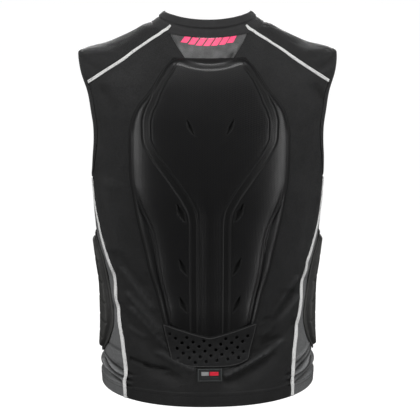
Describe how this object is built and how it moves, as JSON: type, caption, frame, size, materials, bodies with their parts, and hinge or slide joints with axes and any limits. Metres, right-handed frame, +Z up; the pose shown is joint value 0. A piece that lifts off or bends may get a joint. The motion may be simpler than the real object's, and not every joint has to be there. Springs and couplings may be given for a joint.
{
  "type": "protective vest",
  "caption": "Sleeveless stretch vest with a moulded spine protector at the back, rib pads at the sides, grey side panels and light piping, held open as when it is worn.",
  "frame": {"origin": "midway between the two side points of the neck seam, where the wearer's neck comes through", "axes": "+Z up along the wearer's spine, +Y the way the wearer faces, so the protector is towards -Y"},
  "size_m": [0.4232, 0.2514, 0.6443],
  "materials": {
    "black_jersey": "matt stretch jersey with a soft sheen",
    "grey_jersey": "matt grey stretch jersey",
    "grey_mesh": "grey open mesh with fine holes",
    "rib_knit": "black rib knit, folded and stitched",
    "silver_piping": "silver reflective piping, finely flecked",
    "pad_mesh": "moulded foam under a fine black honeycomb mesh",
    "perforated_foam": "thin perforated foam with bound edges",
    "moulded_foam": "black moulded foam, slightly glossy",
    "label_weave": "woven label with plain light and red bars"
  },
  "bodies": {
    "root": {"back_panel": "black_jersey", "front_panel": "black_jersey", "nape_yoke": "grey_mesh", "collar": "rib_knit", "back_protector": "pad_mesh", "lumbar_patch": "perforated_foam", "hem_label": "label_weave", "shoulder_yoke_left": "black_jersey", "side_panel_left": "grey_jersey", "armhole_binding_left": "rib_knit", "shoulder_piping_left": "silver_piping", "side_piping_left": "silver_piping", "rib_pad_left": "moulded_foam", "shoulder_yoke_right": "black_jersey", "side_panel_right": "grey_jersey", "armhole_binding_right": "rib_knit", "shoulder_piping_right": "silver_piping", "side_piping_right": "silver_piping", "rib_pad_right": "moulded_foam"}
  },
  "joints": []
}
